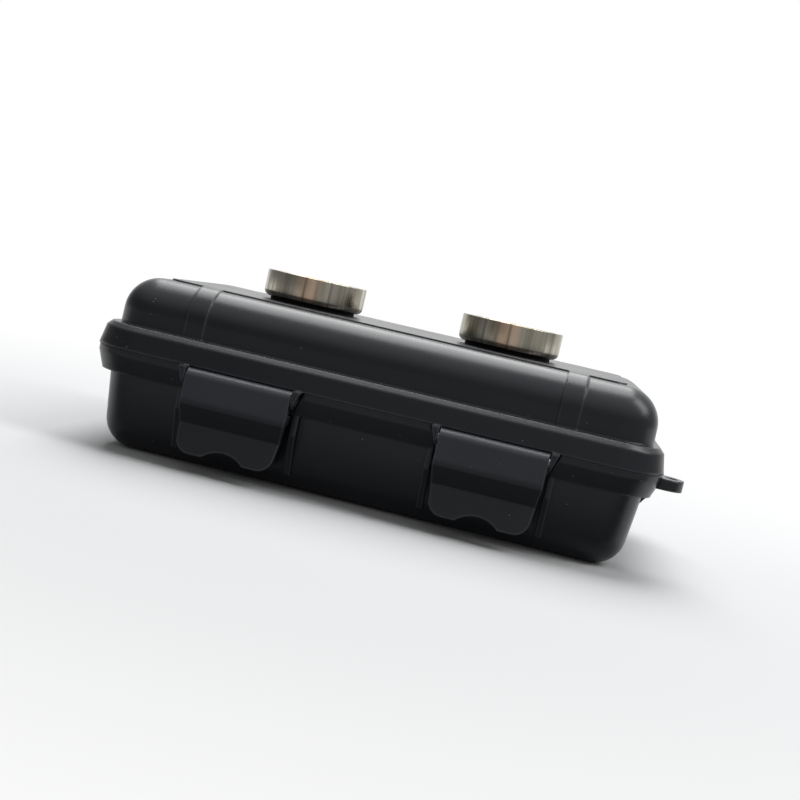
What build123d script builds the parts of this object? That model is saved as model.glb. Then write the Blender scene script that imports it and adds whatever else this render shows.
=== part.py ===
from build123d import *
from math import cos, radians, sin, tan
import os

os.makedirs("parts", exist_ok=True)

# Frame: +X to the right seen from the latches, latches at -Y, hinges at +Y, +Z up.
# The origin is the centre of the base's bottom face. All sizes are millimetres.

# Case, outside; length and depth are taken at the parting line
case_length = 143.0
case_depth = 84.0
case_corner = 12.0
body_corner = 9.0
end_overhang = 3.6
front_overhang = 4.5
base_height = 25.0
lid_height = 19.0
wall = 2.5
lid_draft = 1.5
base_draft = 6.0
inner_bevel = 3.2

# Flanges on both sides of the parting line
lid_flange = 6.0
lid_flange_draft = 12.0
lid_flange_bevel = 1.2
base_flange = 6.0
base_flange_land = 1.6
base_flange_draft = 20.0
base_edge_step = 0.3

# Raised panel on the lid and the two straps that run over its front and back edges
raise_height = 0.4
panel_end_inset = 9.4
panel_side_inset = 10.0
panel_corner = 3.0
strap_width = 5.0
strap_inset = 21.4

# Gasket in the lid, tongue on the base
gasket_width = 2.4
gasket_height = 2.2
gasket_in = 1.4
groove_depth = 3.0
tongue_width = 1.2
tongue_gap = 0.3

# Rear hinges
hinge_inset = 33.5
hinge_reach = 3.6
knuckle_radius = 3.2
lid_knuckle = 12.0
base_knuckle = 5.8
knuckle_gap = 0.2
hinge_pin_radius = 1.5
running_fit = 0.05

# Front latches
latch_inset = 40.3
latch_width = 26.2
latch_side_gap = 0.2
ear_width = 1.9
ear_slope = 1.9
barrel_radius = 2.2
barrel_out = 0.3
barrel_gap = 0.3
latch_pin_radius = 1.0
latch_pin_recess = 1.3
latch_thickness = 1.9
latch_bulge = 0.5
bulge_drop = 2.8
latch_fold = 1.5
fold_drop = 7.4
lip_out = 0.4
latch_foot = 4.5
latch_narrowing = 1.4
latch_foot_round = 3.6
thumb_radius = 7.6
thumb_depth = 2.0
notch_depth = 2.4
notch_side_gap = 0.5
hook_gap = 0.3
hook_grip = 1.3
hook_edge = 0.8
pocket_depth = 1.6
pocket_corner = 3.0
pocket_floor = 3.2
guard_thickness = 1.4
guard_gap = 0.8
guard_drop = 5.0
guard_foot = 4.0

# Gussets under the ends of the base flange
gusset_thickness = 1.4
gusset_out = 1.2
gusset_height = 4.0

# Pot magnets, screwed to the lid
magnet_spacing = 54.0
magnet_radius = 13.5
magnet_height = 7.0
cup_wall = 1.6
cup_floor = 2.0
cup_edge = 1.2
magnet_gap = 0.8
magnet_recess = 0.2
magnet_bore = 4.6
pad_radius = 11.5
pad_height = 0.7
screw_radius = 2.0
head_radius = 3.8
head_height = 2.6
screw_length = 12.0
hole_clearance = 0.25
washer_radius = 4.5
washer_height = 0.8
washer_clearance = 0.15
nut_flats = 7.0
nut_height = 3.2

# Lanyard eye on the right-hand end
eye_inset = 15.0
eye_width = 9.0
eye_reach = 5.4
eye_height = 2.7
eye_hole = 1.5
eye_hole_in = 3.0
eye_drop = 0.9

# Sizes that follow from those above
parting = base_height
lid_top = base_height + lid_height
field_top = lid_top - raise_height
cavity_top = field_top - wall
flange_top = parting + lid_flange
flange_low = parting - base_flange
body_length = case_length - 2 * end_overhang
body_depth = case_depth - 2 * front_overhang
cavity_length = body_length - 2 * wall
cavity_depth = body_depth - 2 * wall
cavity_corner = body_corner - wall
base_slope = tan(radians(base_draft))
hinge_x = case_length / 2 - hinge_inset
hinge_y = case_depth / 2 + hinge_reach
latch_x = case_length / 2 - latch_inset
latch_y = -case_depth / 2 - barrel_out
latch_z = parting - barrel_radius - barrel_gap
latch_half = latch_width / 2
ear_inner = latch_half + latch_side_gap
ear_outer = ear_inner + ear_width
notch_y = -case_depth / 2 + notch_depth
strap_x = body_length / 2 - strap_inset
magnet_x = magnet_spacing / 2
cup_bottom = lid_top + pad_height
cup_top = cup_bottom + magnet_height
eye_y = eye_inset - case_depth / 2


def drafted(length, depth, corner, low, height, draft):
    """A rounded block that leans in by draft degrees towards its top."""
    outline = Plane.XY.offset(low) * RectangleRounded(length, depth, corner)
    return extrude(outline, amount=height, taper=draft)


def domed(length, depth, corner, height, draft):
    """A drafted block on z = 0 whose top edges and corners have the roundness of one ball."""
    slope = tan(radians(draft))
    ball = (corner - height * slope) / (1 / cos(radians(draft)) - slope)
    seam = height - ball * (1 - sin(radians(draft)))
    inset = seam * slope - ball * (1 - cos(radians(draft)))
    pillow = Pos(0, 0, height - 1.5 * ball) * Box(length - 2 * inset, depth - 2 * inset, 3 * ball)
    pillow = fillet(pillow.edges().filter_by(Axis.Z) + edges_at(pillow, height), ball)
    pillow &= block(-length, length, -depth, depth, seam, height)
    return drafted(length, depth, corner, 0, seam, draft) + pillow


def ring(width, bottom, height):
    """A rounded rectangular ring round the cavity, centred on the gasket's path."""
    outer = 2 * gasket_in + width
    inner = 2 * gasket_in - width
    outline = RectangleRounded(cavity_length + outer, cavity_depth + outer, cavity_corner + outer / 2)
    outline -= RectangleRounded(cavity_length + inner, cavity_depth + inner, cavity_corner + inner / 2)
    return extrude(Plane.XY.offset(bottom) * outline, amount=height)


def along_x(profile, end_a, end_b):
    """A solid whose profile is drawn in Y and Z and runs along X between two ends."""
    return extrude(Plane.YZ.offset(min(end_a, end_b)) * profile, amount=abs(end_b - end_a))


def along_y(profile, y_from, y_to):
    """A solid whose profile is drawn in X and Z and runs along Y."""
    return extrude(Plane.XZ.offset(-y_to) * profile, amount=y_to - y_from)


def polygon(*points):
    """A flat face inside straight sides."""
    return make_face(Polyline(*points, close=True))


def rod_x(radius, y, z, end_a, end_b):
    """A round bar along X."""
    return along_x(Pos(y, z) * Circle(radius), end_a, end_b)


def rod_z(radius, x, z_from, z_to):
    """A round bar along Z in the case's middle plane."""
    return extrude(Plane.XY.offset(z_from) * (Pos(x, 0) * Circle(radius)), amount=z_to - z_from)


def block(x_from, x_to, y_from, y_to, z_from, z_to):
    """A plain box between two corners."""
    middle = Pos((x_from + x_to) / 2, (y_from + y_to) / 2, (z_from + z_to) / 2)
    return middle * Box(x_to - x_from, y_to - y_from, z_to - z_from)


def edges_at(solid, z):
    """The edges that lie wholly in the level plane at height z."""
    return solid.edges().filter_by_position(Axis.Z, z - 0.001, z + 0.001)


def knuckle_profile(hand):
    """A hinge knuckle with the web that carries it, above (1) or below (-1) the parting line."""
    root = hinge_y - hinge_reach - 1
    web_end = (lid_flange if hand > 0 else base_flange) - 0.6
    web = polygon(
        (root, parting + hand * web_end),
        (root, parting + hand * 0.1),
        (hinge_y, parting + hand * 0.1),
        (hinge_y + knuckle_radius * 0.76, parting + hand * knuckle_radius * 0.65),
    )
    return Pos(hinge_y, parting) * Circle(knuckle_radius) + web


def make_lid():
    """The lid moulding with flange, straps, gasket groove, hinge knuckles and latch ears."""
    rise = field_top - parting
    dome = domed(body_length, body_depth, body_corner, rise, lid_draft)
    grown = domed(
        body_length + 2 * raise_height, body_depth + 2 * raise_height, body_corner + raise_height,
        rise + raise_height, lid_draft,
    )
    plan = RectangleRounded(
        body_length - 2 * panel_end_inset, body_depth - 2 * panel_side_inset, panel_corner
    )
    for side in (-1, 1):
        plan += Pos(side * strap_x, 0) * Rectangle(strap_width, case_depth)
    raised = grown & extrude(plan, amount=2 * lid_height)

    side_height = lid_flange - lid_flange_bevel
    lean = 2 * side_height * tan(radians(lid_flange_draft))
    flange = drafted(case_length, case_depth, case_corner, parting, side_height, lid_flange_draft)
    flange += drafted(
        case_length - lean, case_depth - lean, case_corner - lean / 2,
        parting + side_height, lid_flange_bevel, 45,
    )
    lid = Pos(0, 0, parting) * (dome + raised) + flange

    cavity = drafted(
        cavity_length, cavity_depth, cavity_corner, parting, cavity_top - parting, lid_draft
    )
    lid -= chamfer(edges_at(cavity, cavity_top), inner_bevel)
    lid -= ring(gasket_width, parting, groove_depth)

    ear = Pos(latch_y, latch_z) * Circle(barrel_radius)
    ear += Pos(latch_y, (latch_z + parting) / 2) * Rectangle(2 * barrel_radius, parting - latch_z)
    for side in (-1, 1):
        half = lid_knuckle / 2
        lid += along_x(knuckle_profile(1), side * hinge_x - half, side * hinge_x + half)
        lid -= rod_x(
            hinge_pin_radius + running_fit, hinge_y, parting,
            side * hinge_x - half - 1, side * hinge_x + half + 1,
        )
        for hand in (-1, 1):
            outer = side * latch_x + hand * ear_outer
            slope = polygon(
                (outer, parting),
                (outer + hand, parting),
                (outer + hand, flange_low),
                (outer - hand * ear_slope, flange_low),
            )
            lid += along_x(ear, side * latch_x + hand * ear_inner, outer) - along_y(slope, -case_depth, 0)
        lid -= rod_x(
            latch_pin_radius, latch_y, latch_z,
            side * latch_x - ear_outer - 1, side * latch_x + ear_outer + 1,
        )
        lid -= rod_z(screw_radius + hole_clearance, side * magnet_x, cavity_top - 1, lid_top + 1)
    return lid


def make_base():
    """The base moulding: tub, flange, gasket tongue, hinge knuckles, gussets and latch notches."""
    tub = domed(body_length, body_depth, body_corner, flange_low, base_draft)
    tub = Pos(0, 0, flange_low) * Rot(180, 0, 0) * tub
    pocket_face = body_depth / 2 - pocket_depth
    pocket = RectangleRounded(latch_width, 2 * (flange_low - pocket_floor), pocket_corner)
    for side in (-1, 1):
        tub -= along_y(Pos(side * latch_x, flange_low) * pocket, -case_depth, -pocket_face)

    land_length = case_length - 2 * base_edge_step
    land_depth = case_depth - 2 * base_edge_step
    land_corner = case_corner - base_edge_step
    land_low = parting - base_flange_land
    land = drafted(land_length, land_depth, land_corner, land_low, base_flange_land, 0)
    skirt = drafted(
        land_length, land_depth, land_corner, 0, base_flange - base_flange_land, base_flange_draft
    )
    base = tub + land + Pos(0, 0, land_low) * Rot(180, 0, 0) * skirt

    guard_in = body_depth / 2 - pocket_depth - 0.5
    wall_foot = body_depth / 2 - (flange_low - guard_foot) * base_slope
    guard = polygon(
        (-guard_in, flange_low + 1),
        (notch_y - 0.6, flange_low),
        (notch_y - 0.6, flange_low - guard_drop),
        (-wall_foot - 0.6, guard_foot),
        (-wall_foot + 1, guard_foot),
        (-guard_in, flange_low - guard_drop),
    )
    notch_half = ear_outer + notch_side_gap
    notch = polygon(
        (ear_slope - notch_half, flange_low),
        (-notch_half, parting),
        (-notch_half, parting + 1),
        (notch_half, parting + 1),
        (notch_half, parting),
        (notch_half - ear_slope, flange_low),
    )
    for side in (-1, 1):
        base -= along_y(Pos(side * latch_x, 0) * notch, -case_depth, notch_y)
        for hand in (-1, 1):
            near = side * latch_x + hand * (latch_half + guard_gap)
            base += along_x(guard, near, near + hand * guard_thickness)
            near = side * hinge_x + hand * (lid_knuckle / 2 + knuckle_gap)
            base += along_x(knuckle_profile(-1), near, near + hand * base_knuckle)
        pin_half = lid_knuckle / 2 + knuckle_gap + base_knuckle + 1
        base -= rod_x(
            hinge_pin_radius, hinge_y, parting, side * hinge_x - pin_half, side * hinge_x + pin_half
        )
        wall_x = side * body_length / 2
        gusset = polygon(
            (wall_x - side * 1.2, flange_low + 0.5),
            (wall_x + side * gusset_out, flange_low + 0.5),
            (wall_x + side * gusset_out, flange_low - 0.6),
            (wall_x - side * 1.2, flange_low - gusset_height),
        )
        for middle in (eye_y, -eye_y):
            base += along_y(gusset, middle - gusset_thickness / 2, middle + gusset_thickness / 2)

    base += ring(tongue_width, parting, groove_depth - gasket_height - tongue_gap)

    cavity = drafted(cavity_length, cavity_depth, cavity_corner, 0, base_height - wall, base_draft)
    cavity = chamfer(edges_at(cavity, base_height - wall), inner_bevel)
    return base - Pos(0, 0, parting) * Rot(180, 0, 0) * cavity


def make_eye(base):
    """The lanyard eye: a flat tab that stands against the end of the base's flange."""
    tip = case_length / 2 + eye_reach
    tab = Pos(tip - eye_width / 2, eye_y) * Circle(eye_width / 2)
    tab += Pos(tip - eye_width, eye_y) * Rectangle(eye_width, eye_width)
    tab -= Pos(tip - eye_hole_in, eye_y) * Circle(eye_hole)
    tab = extrude(Plane.XY.offset(parting - eye_drop - eye_height) * tab, amount=eye_height)
    return (tab - base).solids().sort_by(Axis.X)[-1]


def make_latch(middle):
    """One latch: hinge barrel on top, a folded plate, the hook behind it and a scalloped lip."""
    face = latch_y - barrel_radius
    back = face + latch_thickness
    hook_y = notch_y + hook_grip
    hook_top = flange_low - hook_gap
    plate = polygon(
        (face, latch_z),
        (face - latch_bulge, flange_low - bulge_drop),
        (face + latch_fold, flange_low - fold_drop),
        (face - lip_out, latch_foot),
        (back - lip_out, latch_foot),
        (back + latch_fold, flange_low - fold_drop),
        (back - latch_bulge + 0.3, flange_low - bulge_drop),
        (hook_y - 1, hook_top - 2 * hook_edge),
        (hook_y, hook_top - hook_edge),
        (hook_y, hook_top),
        (back, hook_top),
        (back, latch_z),
    )
    profile = plate + Pos(latch_y, latch_z) * Circle(barrel_radius)
    latch = along_x(profile, middle - latch_half, middle + latch_half)

    waist = flange_low - bulge_drop
    foot_half = latch_half - latch_narrowing
    outline = polygon(
        (-latch_half, parting),
        (-latch_half, waist),
        (-foot_half, latch_foot),
        (foot_half, latch_foot),
        (latch_half, waist),
        (latch_half, parting),
    )
    outline = fillet(outline.vertices().group_by(Axis.Y)[0], latch_foot_round)
    outline -= Pos(0, latch_foot + thumb_depth - thumb_radius) * Circle(thumb_radius)
    latch &= along_y(Pos(middle, 0) * outline, -case_depth, 0)
    return latch - rod_x(
        latch_pin_radius + running_fit, latch_y, latch_z, middle - latch_half - 1, middle + latch_half + 1
    )


def make_cup(x):
    """The pot magnet's drawn steel cup, open at the top, its drawn edge as a bevel."""
    hole = screw_radius + hole_clearance
    profile = polygon(
        (hole, cup_bottom),
        (magnet_radius - cup_edge, cup_bottom),
        (magnet_radius, cup_bottom + cup_edge),
        (magnet_radius, cup_top),
        (magnet_radius - cup_wall, cup_top),
        (magnet_radius - cup_wall, cup_bottom + cup_floor),
        (hole, cup_bottom + cup_floor),
    )
    return Pos(x, 0, 0) * revolve(Plane.XZ * profile, Axis.Z)


def make_magnet(x):
    """The ring magnet on the cup's floor, its bore wide enough for the screw head."""
    low = cup_bottom + cup_floor
    high = cup_top - magnet_recess
    radius = magnet_radius - cup_wall - magnet_gap
    return rod_z(radius, x, low, high) - rod_z(magnet_bore, x, low - 1, high + 1)


def make_screw(x):
    """A plain flat-headed screw from the cup's floor down through the lid."""
    seat = cup_bottom + cup_floor
    return rod_z(head_radius, x, seat, seat + head_height) + rod_z(screw_radius, x, seat - screw_length, seat)


def make_pad(x):
    """The rubber pad that seals between the cup and the lid."""
    return rod_z(pad_radius, x, lid_top, cup_bottom) - rod_z(screw_radius + 0.1, x, lid_top - 1, cup_top)


def make_washer(x):
    """The flat washer under the lid's roof."""
    low = cavity_top - washer_height
    hole = rod_z(screw_radius + washer_clearance, x, low - 1, cavity_top + 1)
    return rod_z(washer_radius, x, low, cavity_top) - hole


def make_nut(x):
    """The hexagon nut inside the lid."""
    high = cavity_top - washer_height
    hexagon = Pos(x, 0) * RegularPolygon(nut_flats / 2, 6, major_radius=False)
    nut = extrude(Plane.XY.offset(high - nut_height) * hexagon, amount=nut_height)
    return nut - rod_z(screw_radius, x, high - nut_height - 1, high + 1)


def save(solid, name):
    """Write one node's STEP file."""
    solid.label = name
    export_step(solid, os.path.join("parts", name + ".step"))


base = make_base()
save(base, "base_shell")
save(make_eye(base), "lanyard_eye")
save(make_lid(), "lid_shell")
save(ring(gasket_width, parting + groove_depth - gasket_height, gasket_height), "gasket")

for side, hand in ((-1, "left"), (1, "right")):
    middle = side * latch_x
    save(make_latch(middle), "latch_" + hand)
    pin_half = ear_outer - latch_pin_recess
    save(rod_x(latch_pin_radius, latch_y, latch_z, middle - pin_half, middle + pin_half), "latch_pin_" + hand)
    middle = side * hinge_x
    pin_half = lid_knuckle / 2 + knuckle_gap + base_knuckle
    save(rod_x(hinge_pin_radius, hinge_y, parting, middle - pin_half, middle + pin_half), "hinge_pin_" + hand)
    save(make_cup(side * magnet_x), "magnet_cup_" + hand)
    save(make_magnet(side * magnet_x), "magnet_ring_" + hand)
    save(make_screw(side * magnet_x), "magnet_screw_" + hand)
    save(make_pad(side * magnet_x), "magnet_pad_" + hand)
    save(make_washer(side * magnet_x), "washer_" + hand)
    save(make_nut(side * magnet_x), "nut_" + hand)
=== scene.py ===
"""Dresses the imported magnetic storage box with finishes, fine pieces, studio and camera."""

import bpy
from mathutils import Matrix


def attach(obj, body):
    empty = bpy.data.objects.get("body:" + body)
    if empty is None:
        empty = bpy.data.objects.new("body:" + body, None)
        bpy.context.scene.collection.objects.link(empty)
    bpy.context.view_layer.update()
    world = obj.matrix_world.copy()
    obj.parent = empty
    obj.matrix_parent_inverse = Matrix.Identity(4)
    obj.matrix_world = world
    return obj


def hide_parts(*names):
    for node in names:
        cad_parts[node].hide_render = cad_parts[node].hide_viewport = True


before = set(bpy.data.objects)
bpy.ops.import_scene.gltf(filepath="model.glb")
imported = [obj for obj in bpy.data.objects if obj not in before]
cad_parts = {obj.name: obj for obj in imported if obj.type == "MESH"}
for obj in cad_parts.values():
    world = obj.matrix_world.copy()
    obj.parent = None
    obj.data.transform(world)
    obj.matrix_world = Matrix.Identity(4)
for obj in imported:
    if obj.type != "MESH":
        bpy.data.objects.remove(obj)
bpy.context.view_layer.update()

import logging
import math
from dataclasses import dataclass, field
from enum import Enum
from typing import Any, Iterable, Sequence

import bmesh
import bpy
from mathutils import Matrix, Vector

Material = bpy.types.Material
Mesh = bpy.types.Mesh
Node = bpy.types.Node
Piece = bpy.types.Object
Socket = bpy.types.NodeSocket
Tree = bpy.types.NodeTree

Inputs = dict[str | int, Any]
Pair = tuple[float, float]
Point = tuple[float, float, float]
Profile = list[Pair]

log = logging.getLogger("magnetic_box")

SIDES = (("left", -1.0), ("right", 1.0))
ORIGIN: Point = (0.0, 0.0, 0.0)

# Sizes in mm that a finish shares with the pieces it is on.
MAGNET_SPACING = 54.0
CUP_RADIUS = 13.5

# Most values of a noise texture lie between these two.
NOISE_LOW, NOISE_HIGH = 0.3, 0.7


def metres(size_mm: float) -> float:
    """A length in millimetres, in metres."""
    return size_mm / 1000.0


def per_metre(size_mm: float) -> float:
    """The scale at which a texture on metre coordinates has features of this size."""
    return 1000.0 / size_mm


def linear(hex_colour: str) -> tuple[float, float, float, float]:
    """Turn an sRGB hex colour into linear RGBA.

    Args:
        hex_colour: six hexadecimal digits.

    Returns:
        Red, green, blue and an alpha of 1, in linear light.
    """
    channels = [int(hex_colour[i:i + 2], 16) / 255.0 for i in (0, 2, 4)]
    red, green, blue = (
        c / 12.92 if c <= 0.04045 else ((c + 0.055) / 1.055) ** 2.4 for c in channels
    )
    return red, green, blue, 1.0


def add_node(tree: Tree, kind: str, inputs: Inputs | None = None, **settings: Any) -> Node:
    """Add one node with its settings, its fixed values and its links.

    Args:
        tree: the node tree that gets the node.
        kind: the node's type name.
        inputs: input name or number, with a socket to link or a value to set.
        settings: attributes of the node itself.

    Returns:
        The new node.
    """
    node = tree.nodes.new(kind)
    for name, value in settings.items():
        setattr(node, name, value)
    for key, value in (inputs or {}).items():
        if isinstance(value, Socket):
            tree.links.new(value, node.inputs[key])
        else:
            node.inputs[key].default_value = value
    return node


@dataclass(frozen=True)
class Finish:
    """What every finish has: a name, an sRGB colour and a roughness."""

    name: str
    colour: str
    roughness: float

    def begin(self) -> tuple[Material, Tree, Socket]:
        """Start a node material.

        Returns:
            The material, its emptied node tree and the Object coordinates to build patterns on.
        """
        material = bpy.data.materials.new(self.name)
        material.use_nodes = True
        tree = material.node_tree
        tree.nodes.clear()
        place = add_node(tree, "ShaderNodeTexCoord")
        material.diffuse_color = linear(self.colour)
        return material, tree, place.outputs["Object"]

    def close(self, tree: Tree, inputs: Inputs) -> None:
        """End the tree in one Principled shader with these inputs, given as links or values."""
        shader = add_node(tree, "ShaderNodeBsdfPrincipled", inputs)
        add_node(tree, "ShaderNodeOutputMaterial", {"Surface": shader.outputs["BSDF"]})


@dataclass(frozen=True)
class MouldedPlastic(Finish):
    """Black ABS or nylon, moulded in a spark-eroded steel tool.

    The eye sees a satin black with a very fine grain, sheen that changes softly over the faces
    where hands have shone them, an upper face painted paler as painted light where one is set,
    small round edges made paler, partly as wear and partly as a painted glint, and a few specks
    of dust. The real grain is finer than a pixel of the render, so it is drawn coarser.
    """

    polished_and_lit: str
    ior: float = 1.5
    grain_mm: float = 0.4
    grain_depth_mm: float = 0.008
    handled_mm: float = 22.0
    sheen_swing: float = 0.04
    lit_plate_from_mm: float | None = None
    lit_plate_fade_mm: float = 0.8
    lit_plate_least: float = 0.75
    edge_mm: float = 0.45
    edge_samples: int = 6
    # paler edges: partly wear, partly a painted glint where edges catch light
    rubbed_glint: str = "5c6066"
    rubbed_glint_mm: float = 0.6
    rubbed_glint_samples: int = 8
    rubbed_glint_span: Pair = (0.92, 0.55)
    rubbed_glint_share: float = 0.6
    dust: str = "a3a4a3"
    dust_apart_mm: float = 3.2
    dust_radius_mm: float = 0.16

    def polished_and_lit_share(self, tree: Tree, place: Socket, handled: Socket) -> Socket:
        """Say where the plastic is made paler: at random where hands have shone it, and, above a
        set height, as painted light on a lit upper face.

        Args:
            tree: the material's node tree.
            place: the Object coordinates.
            handled: the soft noise of the handling.

        Returns:
            The paler colour's share; if a height is set, only above it, as painted light.
        """
        if self.lit_plate_from_mm is None:
            return handled
        # painted light: the paler colour only above a set height, as on a lit upper face
        split = add_node(tree, "ShaderNodeSeparateXYZ", {"Vector": place})
        plate = add_node(tree, "ShaderNodeMapRange", {
            "Value": split.outputs["Z"],
            "From Min": metres(self.lit_plate_from_mm - self.lit_plate_fade_mm),
            "From Max": metres(self.lit_plate_from_mm + self.lit_plate_fade_mm),
        }, interpolation_type="SMOOTHSTEP")
        patchy = add_node(tree, "ShaderNodeMapRange", {
            "Value": handled, "From Min": NOISE_LOW, "From Max": NOISE_HIGH,
            "To Min": self.lit_plate_least, "To Max": 1.0,
        })
        share = add_node(tree, "ShaderNodeMath", {
            0: plate.outputs["Result"], 1: patchy.outputs["Result"],
        }, operation="MULTIPLY")
        return share.outputs["Value"]

    def rub_and_glint_edges(self, tree: Tree, tint: Socket) -> Socket:
        """Make the outer edges paler, partly as wear and partly as a painted glint, found as
        places with little plastic behind them.

        Args:
            tree: the material's node tree.
            tint: the colour of the faces.

        Returns:
            The colour with its paler edges, wear and painted glint.
        """
        behind = add_node(
            tree, "ShaderNodeAmbientOcclusion", {"Distance": metres(self.rubbed_glint_mm)},
            inside=True, only_local=True, samples=self.rubbed_glint_samples,
        )
        wear_and_glint = add_node(tree, "ShaderNodeMapRange", {
            "Value": behind.outputs["AO"],
            "From Min": self.rubbed_glint_span[0], "From Max": self.rubbed_glint_span[1],
            "To Min": 0.0, "To Max": self.rubbed_glint_share,
        })
        # painted glint: paler outer edges, partly wear from handling and partly a painted
        # highlight
        edged = add_node(tree, "ShaderNodeMix", {
            "Factor": wear_and_glint.outputs["Result"], "A": tint, "B": linear(self.rubbed_glint),
        }, data_type="RGBA")
        return edged.outputs["Result"]

    def dust_over(self, tree: Tree, place: Socket, tint: Socket) -> Socket:
        """Scatter a few specks of dust, some fainter than others.

        Args:
            tree: the material's node tree.
            place: the Object coordinates.
            tint: the colour under the dust.

        Returns:
            The colour with its dust.
        """
        reach = self.dust_radius_mm / self.dust_apart_mm
        specks = add_node(tree, "ShaderNodeTexVoronoi", {
            "Vector": place, "Scale": per_metre(self.dust_apart_mm),
        })
        dot = add_node(tree, "ShaderNodeMapRange", {
            "Value": specks.outputs["Distance"], "From Min": reach, "From Max": reach / 2,
        })
        strength = add_node(tree, "ShaderNodeSeparateColor", {"Color": specks.outputs["Color"]})
        share = add_node(tree, "ShaderNodeMath", {
            0: dot.outputs["Result"], 1: strength.outputs["Red"],
        }, operation="MULTIPLY")
        dusted = add_node(tree, "ShaderNodeMix", {
            "Factor": share.outputs["Value"], "A": tint, "B": linear(self.dust),
        }, data_type="RGBA")
        return dusted.outputs["Result"]

    def material(self) -> Material:
        """Build the material.

        Returns:
            The finished plastic.
        """
        material, tree, place = self.begin()
        handled = add_node(tree, "ShaderNodeTexNoise", {
            "Vector": place, "Scale": per_metre(self.handled_mm), "Detail": 3.0,
            "Roughness": 0.55,
        })
        # paler tint: random tone from handling, plus painted light on an upper face where set
        tint = add_node(tree, "ShaderNodeMix", {
            "Factor": self.polished_and_lit_share(tree, place, handled.outputs["Fac"]),
            "A": linear(self.colour), "B": linear(self.polished_and_lit),
        }, data_type="RGBA")
        sheen = add_node(tree, "ShaderNodeMapRange", {
            "Value": handled.outputs["Fac"], "From Min": NOISE_LOW, "From Max": NOISE_HIGH,
            "To Min": self.roughness + self.sheen_swing,
            "To Max": self.roughness - self.sheen_swing,
        })
        grain = add_node(tree, "ShaderNodeTexNoise", {
            "Vector": place, "Scale": per_metre(self.grain_mm), "Detail": 2.0, "Roughness": 0.6,
        })
        edged = self.rub_and_glint_edges(tree, tint.outputs["Result"])
        dusted = self.dust_over(tree, place, edged)
        rounded = add_node(
            tree, "ShaderNodeBevel", {"Radius": metres(self.edge_mm)}, samples=self.edge_samples,
        )
        bump = add_node(tree, "ShaderNodeBump", {
            "Height": grain.outputs["Fac"], "Distance": metres(self.grain_depth_mm),
            "Strength": 1.0, "Normal": rounded.outputs["Normal"],
        })
        self.close(tree, {
            "Base Color": dusted, "Roughness": sheen.outputs["Result"], "IOR": self.ior,
            "Normal": bump.outputs["Normal"],
        })
        return material


@dataclass(frozen=True)
class CuredRubber(Finish):
    """Compression-moulded silicone or EPDM rubber.

    The eye sees a dull dark grey with a soft bloom and a little clinging dust.
    """

    ior: float = 1.41
    bloom: str = "3a3b3c"
    bloom_mm: float = 7.0
    bloom_depth_mm: float = 0.02
    speck_mm: float = 0.9
    speck_span: Pair = (0.05, 0.16)
    speck_share: float = 0.55

    def material(self) -> Material:
        """Build the material.

        Returns:
            The finished rubber.
        """
        material, tree, place = self.begin()
        cloud = add_node(tree, "ShaderNodeTexNoise", {
            "Vector": place, "Scale": per_metre(self.bloom_mm), "Detail": 4.0,
        })
        dust = add_node(tree, "ShaderNodeTexVoronoi", {
            "Vector": place, "Scale": per_metre(self.speck_mm),
        })
        specks = add_node(tree, "ShaderNodeMapRange", {
            "Value": dust.outputs["Distance"],
            "From Min": self.speck_span[0], "From Max": self.speck_span[1],
            "To Min": self.speck_share, "To Max": 0.0,
        })
        amount = add_node(tree, "ShaderNodeMath", {
            0: cloud.outputs["Fac"], 1: specks.outputs["Result"],
        }, operation="MULTIPLY")
        tint = add_node(tree, "ShaderNodeMix", {
            "Factor": amount.outputs["Value"],
            "A": linear(self.colour), "B": linear(self.bloom),
        }, data_type="RGBA")
        bump = add_node(tree, "ShaderNodeBump", {
            "Height": cloud.outputs["Fac"], "Distance": metres(self.bloom_depth_mm),
            "Strength": 0.6,
        })
        self.close(tree, {
            "Base Color": tint.outputs["Result"], "Roughness": self.roughness, "IOR": self.ior,
            "Normal": bump.outputs["Normal"],
        })
        return material


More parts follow.
